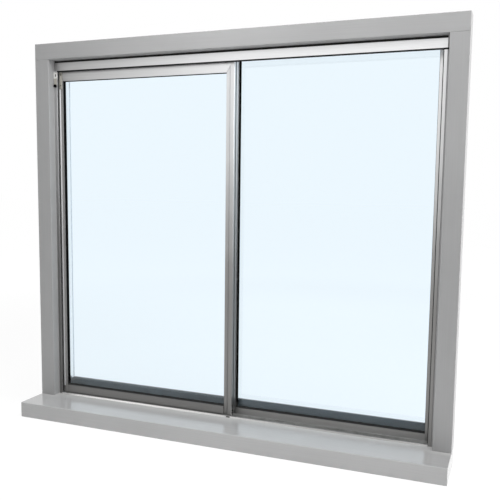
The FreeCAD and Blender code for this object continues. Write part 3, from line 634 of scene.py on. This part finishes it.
def ring_sides(node):
    """Outer and inner edges of a rectangular ring, across and up."""
    points = [vertex.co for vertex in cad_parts[node].data.vertices]
    across = sorted({round(point.x, 5) for point in points})
    up = sorted({round(point.z, 5) for point in points})
    if len(across) != 4 or len(up) != 4:
        raise RuntimeError(f"{node} is not a plain ring")
    return across, up


def add_prism(points, faces, near, far):
    """Add a closed shape between two outlines of as many corners each."""
    start, sides = len(points), len(near)
    above = start + sides
    points += near + far
    for step in range(sides):
        following = (step + 1) % sides
        faces.append((start + step, start + following, above + following, above + step))
    faces.append(tuple(reversed(range(start, above))))
    faces.append(tuple(range(above, above + sides)))


def gasket_section(lip):
    """Outline of a glazing gasket: share of the way in from the frame, and of the thickness off the pane."""
    nose = [(0.08 + 0.1 * math.sin(turn), 0.86 + 0.14 * math.cos(turn))
            for turn in (math.radians(step) for step in range(0, 91, 18))]
    wedge = [(0.36, 0.7), (0.42, 0.6), (0.5, 0.66), (0.94, lip * 1.6), (1.0, lip * 0.8)]
    return [(0.0, 0.0), (0.0, 0.93), (0.03, 0.985)] + nose + wedge + [(1.0, 0.0)]


def turned_shape(outline, sides):
    """Points and faces of an outline (radius, rise) turned about an axis, closed at both ends."""
    points = []
    for radius, rise in outline:
        for step in range(sides):
            turn = 2 * math.pi * step / sides
            points.append(Vector((radius * math.cos(turn), radius * math.sin(turn), rise)))
    faces = []
    for ring in range(len(outline) - 1):
        for step in range(sides):
            following = (step + 1) % sides
            low, high = ring * sides, (ring + 1) * sides
            faces.append((low + step, low + following, high + following, high + step))
    faces.append(tuple(reversed(range(sides))))
    faces.append(tuple(range((len(outline) - 1) * sides, len(outline) * sides)))
    return points, faces


def buffer_outline(radius, length):
    """Outline of the round buffer, with a rounded rim and a dished face."""
    outline = [(radius * 0.9, 0), (radius, 0.4 * MM), (radius, length - 1.6 * MM)]
    for step in range(1, 6):
        turn = math.radians(90 * step / 5)
        outline.append((radius - 1.4 * MM * (1 - math.cos(turn)), length - 1.6 * MM * (1 - math.sin(turn))))
    dish = length - 0.8 * MM
    return outline + [(radius * 0.5, length), (radius * 0.45, dish), (radius * 0.1, dish)]


def grommet_outline(radius, length):
    """Outline of the grommet, with a rounded rim and a hollow middle."""
    rim = 0.4 * MM
    return [(radius, 0), (radius, length - rim), (radius - rim, length), (radius * 0.6, length),
            (radius * 0.5, length - 2.5 * rim), (radius * 0.1, length - 2.5 * rim)]


def screw_outline(head):
    """Outline of a pan head screw with a socket."""
    shank = [(head * 0.55, 0), (head * 0.55, 1.2 * MM)]
    pan = [(head, 1.2 * MM), (head, 1.6 * MM), (head * 0.86, 2.1 * MM), (head * 0.5, 2.35 * MM)]
    return shank + pan + [(head * 0.46, 1.9 * MM), (head * 0.1, 1.9 * MM)]


def facing_front(points, place):
    """Points made along +Z, turned to face the front and moved to a place."""
    turn = Matrix.Translation(place) @ Matrix.Rotation(math.radians(90), 4, "X")
    return [turn @ point for point in points]


class SLIDINGWINDOW_OT_paint_surround(Operator):
    """Paint the head, jambs and sill board of the surround"""
    bl_idname = "sliding_window.paint_surround"
    bl_label = "Paint the surround"

    def execute(self, context):
        settings = context.scene.window_surround
        satin, gloss = settings.roughness, settings.sill_roughness
        head = satin_paint("satin_paint_run", settings, settings.colour, BRUSHED_RUN, satin, relief=0.2)
        jambs = satin_paint(
            "satin_paint_upright", settings, settings.colour, BRUSHED_UPRIGHT, satin, relief=0.2)
        sill = satin_paint(
            "gloss_paint_sill", settings, settings.sill_lit_colour, BRUSHED_RUN, gloss, relief=0.03,
            specular=0.8, board=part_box("surround_sill"))
        dress(("surround_head",), head)
        dress(("surround_left_jamb", "surround_right_jamb", "surround_right_fillet"), jambs)
        dress(("surround_sill",), sill)
        return {"FINISHED"}


class SLIDINGWINDOW_OT_finish_aluminium(Operator):
    """Finish the rails, stiles and frame in satin aluminium"""
    bl_idname = "sliding_window.finish_aluminium"
    bl_label = "Finish the aluminium"

    def execute(self, context):
        settings = context.scene.window_metal
        run, upright = DRAWN_RUN, DRAWN_UPRIGHT
        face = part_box("sash_top_rail")[0].y
        # Lit and shaded copies of one satin finish: lift and the lit share make some pieces brighter than
        # others, painted light.
        dress(SATIN_HIGH, satin_aluminium("satin_aluminium_high", settings, run, lift=1.18))
        dress(SATIN_LOW, satin_aluminium("satin_aluminium_low", settings, run))
        dress(SATIN_UPRIGHT, satin_aluminium("satin_aluminium_upright", settings, upright, lift=1.06))
        dress(("frame_left_lip",), satin_aluminium("satin_aluminium_lip", settings, upright, lit_scale=3.5))
        dress(("sash_lock_stile",),
              satin_aluminium("satin_aluminium_pull", settings, upright, lift=1.22, lit_scale=0.12, pull=face))
        dress(FIXED_RUN, satin_aluminium("fixed_aluminium_run", settings, run, lift=1.7))
        dress(FIXED_UPRIGHT, satin_aluminium("fixed_aluminium_upright", settings, upright, lift=1.3))
        dress(MILL_RUN, mill_aluminium("mill_aluminium_run", settings, settings.mill, run))
        dress(MILL_UPRIGHT, mill_aluminium("mill_aluminium_upright", settings, settings.mill, upright))
        # The nose is painted bright at its left end and darker at its right end: painted highlight and
        # painted shade.
        dress(("frame_sill_nose",),
              mill_aluminium("mill_aluminium_nose", settings, settings.nose, run, right_shade_share=0.45))
        return {"FINISHED"}


class SLIDINGWINDOW_OT_finish_track(Operator):
    """Finish the track rail, the weather bar and the glides"""
    bl_idname = "sliding_window.finish_track"
    bl_label = "Finish the track"

    def execute(self, context):
        dress(("sill_track_rail",), track_metal(context.scene.window_metal))
        dress(("rear_weather_bar",), slate_coat(context.scene.window_metal))
        dress(("sash_left_glide", "sash_right_glide"), moulded_nylon(context.scene.window_fittings))
        return {"FINISHED"}


class SLIDINGWINDOW_OT_glaze_panes(Operator):
    """Give both panes clear glass"""
    bl_idname = "sliding_window.glaze_panes"
    bl_label = "Glaze the panes"

    def execute(self, context):
        dress(("sash_glass", "fixed_glass"), clear_glass(context.scene.window_glazing))
        return {"FINISHED"}


class SLIDINGWINDOW_OT_fit_gaskets(Operator):
    """Fit wedge gaskets with mitred corners round both panes"""
    bl_idname = "sliding_window.fit_gaskets"
    bl_label = "Fit the gaskets"

    def execute(self, context):
        settings = context.scene.window_glazing
        dust_line = max(ring_sides(node)[1][1] for node, _, _ in GASKETS)
        rubber = black_rubber("black_rubber", settings.rubber, settings.bloom, dust_line, settings.settled)
        for node, body, side in GASKETS:
            low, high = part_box(node)
            across, up = ring_sides(node)
            thick = high.y - low.y
            pane = high.y if side < 0 else low.y
            points = []
            section = gasket_section(settings.lip / thick)
            for inward, off in section:
                left = across[0] + inward * (across[1] - across[0])
                right = across[3] - inward * (across[3] - across[2])
                foot = up[0] + inward * (up[1] - up[0])
                top = up[3] - inward * (up[3] - up[2])
                depth = pane + side * off * thick
                points += [(left, depth, foot), (right, depth, foot)]
                points += [(right, depth, top), (left, depth, top)]
            faces = []
            for ring in range(len(section)):
                near, far = ring * 4, (ring + 1) % len(section) * 4
                for corner in range(4):
                    beside = (corner + 1) % 4
                    face = (near + corner, near + beside, far + beside, far + corner)
                    faces.append(face if side < 0 else face[::-1])
            piece = new_piece(f"{node}_wedge", points, faces, rubber, body)
            smooth(piece, GASKET_CREASE)
            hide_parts(node)
        return {"FINISHED"}


class SLIDINGWINDOW_OT_fit_strips(Operator):
    """Fit the brush strip under the head, the seal strips and the flap of the drain slot"""
    bl_idname = "sliding_window.fit_strips"
    bl_label = "Fit the strips"

    def execute(self, context):
        settings = context.scene.window_fittings
        glazing = context.scene.window_glazing
        pile = black_pile(settings)
        dusty = scaled(glazing.strip, 1.6)
        dress(("left_jamb_strip", "sash_pile_strip"), pile)
        dress(("head_seal_strip", "right_jamb_strip"), black_rubber("strip_rubber", glazing.strip, dusty))
        self.fit_brush(settings, pile)
        self.fit_flap(settings, black_rubber("flap_rubber", glazing.rubber, glazing.bloom))
        return {"FINISHED"}

    @staticmethod
    def fit_brush(settings, pile):
        """Backing, end over the right lip and rows of tufts."""
        low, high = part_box("head_brush_strip")
        back = high.z - BACKING
        foot = low.z - settings.tuft_reach
        points = []
        faces = []
        backing = [(low.x, low.y), (high.x, low.y), (high.x, high.y), (low.x, high.y)]
        add_prism(points, faces, [(x, y, back) for x, y in backing], [(x, y, high.z) for x, y in backing])
        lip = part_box("frame_right_lip")[1].x
        fillet_low, fillet_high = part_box("surround_right_fillet")
        front, end = low.y - settings.end_proud, fillet_high.x - END_ROOM
        cover = [(high.x, front), (end, front), (end, fillet_low.y), (lip, fillet_low.y), (lip, low.y),
                 (high.x, low.y)]
        add_prism(points, faces, [(x, y, foot) for x, y in cover], [(x, y, high.z) for x, y in cover])
        chance = random.Random(TUFT_SEED)
        count = int((high.x - low.x) / settings.tuft_pitch)
        row_pitch = (high.y - low.y) / settings.tuft_rows
        size = TUFT_WIDTH * settings.tuft_pitch
        for row in range(settings.tuft_rows):
            for number in range(count):
                x = low.x + (number + 0.5 + ROW_SHIFT * (row % 2)) * settings.tuft_pitch
                y = low.y + (row + 0.5) * row_pitch
                tip_x = x + chance.uniform(-SWAY_ALONG, SWAY_ALONG) * MM
                tip_y = y + chance.uniform(-SWAY_ACROSS, SWAY_ACROSS) * MM
                tip_z = foot + chance.uniform(0, RAGGED) * MM
                rings = []
                for share, cx, cy, z in ((1.0, tip_x, tip_y, tip_z), (ROOT_SHARE, x, y, back + TUFT_ROOT)):
                    ring = []
                    for corner in range(4):
                        turn = math.radians(45 + 90 * corner)
                        ring.append((min(max(cx + share * size * math.cos(turn), low.x), high.x),
                                     min(max(cy + share * size * math.sin(turn), low.y), high.y), z))
                    rings.append(ring)
                add_prism(points, faces, *rings)
        brush = new_piece("head_brush_pile", points, faces, pile, "window")
        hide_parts("head_brush_strip")

    @staticmethod
    def fit_flap(settings, rubber):
        """Flap in the drain slot, level with the slope of the nose."""
        low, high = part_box("frame_sill_nose")
        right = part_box("sash_meeting_stile")[1].x - settings.flap_room
        left = right - settings.flap_length
        sill_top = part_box("surround_sill")[1].z
        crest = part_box("frame_head_lip")[0].y
        foot = sill_top + settings.flap_lift
        top = foot + settings.flap_height
        slope = (crest - low.y) / (high.z - sill_top)
        front, upper_front = (low.y + settings.flap_room + (z - sill_top) * slope for z in (foot, top))
        section = [(front, foot), (crest, foot), (crest, top), (upper_front, top)]
        points = []
        faces = []
        add_prism(points, faces, [(left, y, z) for y, z in section], [(right, y, z) for y, z in section])
        new_piece("drain_flap", points, faces, rubber, "window")


class SLIDINGWINDOW_OT_fit_corner_stop(Operator):
    """Finish the corner stop and the sash's corner plate, with the buffer, the grommet and the screws"""
    bl_idname = "sliding_window.fit_corner_stop"
    bl_label = "Fit the corner stop"

    def execute(self, context):
        settings = context.scene.window_fittings
        stop_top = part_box("corner_stop")[1].z
        sash_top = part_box("sash_corner_plate")[1].z
        dress(("corner_stop",), cast_plate("cast_stop", settings, stop_top - settings.plate_height))
        dress(("sash_corner_plate",), cast_plate("cast_plate", settings, sash_top))
        glazing = context.scene.window_glazing
        rubber = black_rubber("buffer_rubber", glazing.rubber, glazing.bloom)
        low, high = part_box("corner_stop_buffer")
        middle = (low + high) / 2
        points, faces = turned_shape(buffer_outline((high.x - low.x) / 2, high.y - low.y), BUFFER_SIDES)
        points = facing_front(points, (middle.x, high.y, middle.z))
        buffer = new_piece("corner_stop_bumper", points, faces, rubber, "window")
        smooth(buffer, ROUND_CREASE)
        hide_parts("corner_stop_buffer")
        self.fit_grommet(settings, rubber)
        self.fit_screws(settings)
        return {"FINISHED"}

    @staticmethod
    def fit_grommet(settings, rubber):
        """Oval grommet in the slot of the light plate."""
        low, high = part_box("corner_stop")
        wide, tall = settings.slot_size
        points, faces = turned_shape(grommet_outline(wide / 2, high.y - low.y - GROMMET_INSET), SMALL_SIDES)
        for point in points:
            point.y += math.copysign((tall - wide) / 2, point.y)
        place = ((low.x + high.x) / 2, high.y, high.z - settings.plate_height / 2)
        grommet = new_piece("corner_stop_grommet", facing_front(points, place), faces, rubber, "window")
        smooth(grommet, ROUND_CREASE)

    @staticmethod
    def fit_screws(settings):
        """A high and a low screw in the sash's corner plate."""
        steel = blackened_steel()
        points, faces = turned_shape(screw_outline(settings.screw_radius), SMALL_SIDES)
        low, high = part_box("sash_corner_plate")
        heights = {"high": high.z - HIGH_INSET * settings.screw_drop, "low": low.z + settings.screw_drop}
        for name, z in heights.items():
            seat = ((low.x + high.x) / 2, low.y + SCREW_SEAT, z)
            screw = new_piece(f"corner_plate_{name}_screw", facing_front(points, seat), faces, steel, "sash")
            smooth(screw, ROUND_CREASE)


class SLIDINGWINDOW_OT_set_stage(Operator):
    """Set the pale floor, the soft lamps and the camera"""
    bl_idname = "sliding_window.set_stage"
    bl_label = "Set the stage"

    def execute(self, context):
        settings = context.scene.window_stage
        self.set_world(context.scene, settings)
        self.set_floor(context.scene, settings)
        for lamp in LAMPS:
            self.set_lamp(context.scene, getattr(settings, f"{lamp[0]}_power"), *lamp)
        self.set_camera(context.scene, settings)
        context.scene.view_settings.view_transform = "Standard"
        return {"FINISHED"}

    @staticmethod
    def seen_share(tree):
        """1 for rays that show the background: from the camera, off gloss and through glass."""
        path = tree.nodes.new("ShaderNodeLightPath")
        share = path.outputs["Is Camera Ray"]
        for name in ("Is Glossy Ray", "Is Transmission Ray"):
            larger = tree.nodes.new("ShaderNodeMath")
            larger.operation = "MAXIMUM"
            tree.links.new(share, larger.inputs[0])
            tree.links.new(path.outputs[name], larger.inputs[1])
            share = larger.outputs["Value"]
        return share

    def set_world(self, scene, settings):
        """White surroundings that light the window a little."""
        world = bpy.data.worlds.new("soft_white_room")
        scene.world = world
        world.use_nodes = True
        tree = world.node_tree
        light = tree.nodes["Background"]
        light.inputs["Color"].default_value = WHITE
        light.inputs["Strength"].default_value = settings.ambient
        seen = tree.nodes.new("ShaderNodeBackground")
        seen.inputs["Color"].default_value = WHITE
        mix = tree.nodes.new("ShaderNodeMixShader")
        tree.links.new(self.seen_share(tree), mix.inputs["Fac"])
        tree.links.new(light.outputs["Background"], mix.inputs[1])
        tree.links.new(seen.outputs["Background"], mix.inputs[2])
        tree.links.new(mix.outputs["Shader"], tree.nodes["World Output"].inputs["Surface"])

    def set_floor(self, scene, settings):
        """Pale floor that keeps the window's shadow and whitens with distance."""
        mesh = bpy.data.meshes.new("pale_floor")
        corners = [(x * FLOOR_REACH, y * FLOOR_REACH, 0) for x, y in ((-1, -1), (1, -1), (1, 1), (-1, 1))]
        mesh.from_pydata(corners, [], [(0, 1, 2, 3)])
        floor = bpy.data.objects.new("pale_floor", mesh)
        scene.collection.objects.link(floor)
        pale = Finish("pale_floor")
        speckle = pale.noise(scale=40, detail=3.0)
        seen = self.seen_share(pale.tree)
        shaded = scaled(settings.floor, settings.floor_shade)
        body = pale.blend(speckle, scaled(settings.floor, 0.97), settings.floor)
        pale.set(Base_Color=pale.blend(seen, body, shaded), Roughness=0.7, Specular_IOR_Level=0.0)
        away = pale.add("ShaderNodeVectorMath", operation="LENGTH")
        pale.feed(away.inputs[0], pale.place)
        lift = pale.spread(away.outputs["Value"], WHITENS_FROM, WHITENS_TO, settings.floor_lift, FAR_WHITE)
        glow = pale.add("ShaderNodeEmission")
        pale.feed(glow.inputs["Strength"], pale.combine("MULTIPLY", seen, lift))
        both = pale.add("ShaderNodeAddShader")
        pale.feed(both.inputs[0], pale.shader.outputs["BSDF"])
        pale.feed(both.inputs[1], glow.outputs["Emission"])
        pale.feed(pale.tree.nodes["Material Output"].inputs["Surface"], both.outputs["Shader"])
        mesh.materials.append(pale.material)

    @staticmethod
    def set_lamp(scene, power, name, size, place, target, shown):
        """A square lamp that the camera doesn't show."""
        data = bpy.data.lights.new(f"{name}_lamp", "AREA")
        data.energy = power
        data.size = size
        lamp = bpy.data.objects.new(f"{name}_lamp", data)
        lamp.location = place
        lamp.rotation_euler = (Vector(target) - Vector(place)).to_track_quat("-Z", "Y").to_euler()
        lamp.visible_camera = False
        lamp.visible_glossy = shown
        lamp.visible_transmission = shown
        scene.collection.objects.link(lamp)

    @staticmethod
    def set_camera(scene, settings):
        """The camera at the viewing angle."""
        data = bpy.data.cameras.new("front_camera")
        data.sensor_width = SENSOR_WIDTH
        data.lens = settings.lens
        data.shift_x = settings.shift_x
        data.shift_y = settings.shift_y
        camera = bpy.data.objects.new("front_camera", data)
        turn = Matrix.Rotation(settings.camera_yaw, 4, "Z")
        turn = turn @ Matrix.Rotation(settings.camera_pitch, 4, "X")
        turn = turn @ Matrix.Rotation(settings.camera_roll, 4, "Y")
        turn = turn @ Matrix.Rotation(math.radians(90), 4, "X")
        camera.matrix_world = Matrix.Translation(settings.camera_place) @ turn
        scene.collection.objects.link(camera)
        scene.camera = camera


STEPS = (
    SLIDINGWINDOW_OT_set_stage,
    SLIDINGWINDOW_OT_paint_surround,
    SLIDINGWINDOW_OT_finish_aluminium,
    SLIDINGWINDOW_OT_finish_track,
    SLIDINGWINDOW_OT_glaze_panes,
    SLIDINGWINDOW_OT_fit_gaskets,
    SLIDINGWINDOW_OT_fit_strips,
    SLIDINGWINDOW_OT_fit_corner_stop,
)
SETTINGS = {
    "window_surround": SurroundSettings,
    "window_metal": MetalSettings,
    "window_glazing": GlazingSettings,
    "window_fittings": FittingSettings,
    "window_stage": StageSettings,
}


class SLIDINGWINDOW_PT_pieces(Panel):
    """Pieces and finishes of the sliding window"""
    bl_label = "Sliding window"
    bl_space_type = "VIEW_3D"
    bl_region_type = "UI"
    bl_category = "Sliding Window"

    def draw(self, context):
        for step in STEPS:
            self.layout.operator(step.bl_idname)
        for name, group in SETTINGS.items():
            box = self.layout.box()
            box.label(text=group.__doc__)
            for key in group.__annotations__:
                box.prop(getattr(context.scene, name), key)


def register():
    for group in SETTINGS.values():
        bpy.utils.register_class(group)
    for step in STEPS:
        bpy.utils.register_class(step)
    bpy.utils.register_class(SLIDINGWINDOW_PT_pieces)
    for name, group in SETTINGS.items():
        setattr(bpy.types.Scene, name, PointerProperty(type=group))


def unregister():
    for name in SETTINGS:
        delattr(bpy.types.Scene, name)
    bpy.utils.unregister_class(SLIDINGWINDOW_PT_pieces)
    for step in reversed(STEPS):
        bpy.utils.unregister_class(step)
    for group in SETTINGS.values():
        bpy.utils.unregister_class(group)


def main():
    register()
    for step in STEPS:
        group, action = step.bl_idname.split(".")
        getattr(getattr(bpy.ops, group), action)()


if __name__ == "__main__":
    main()
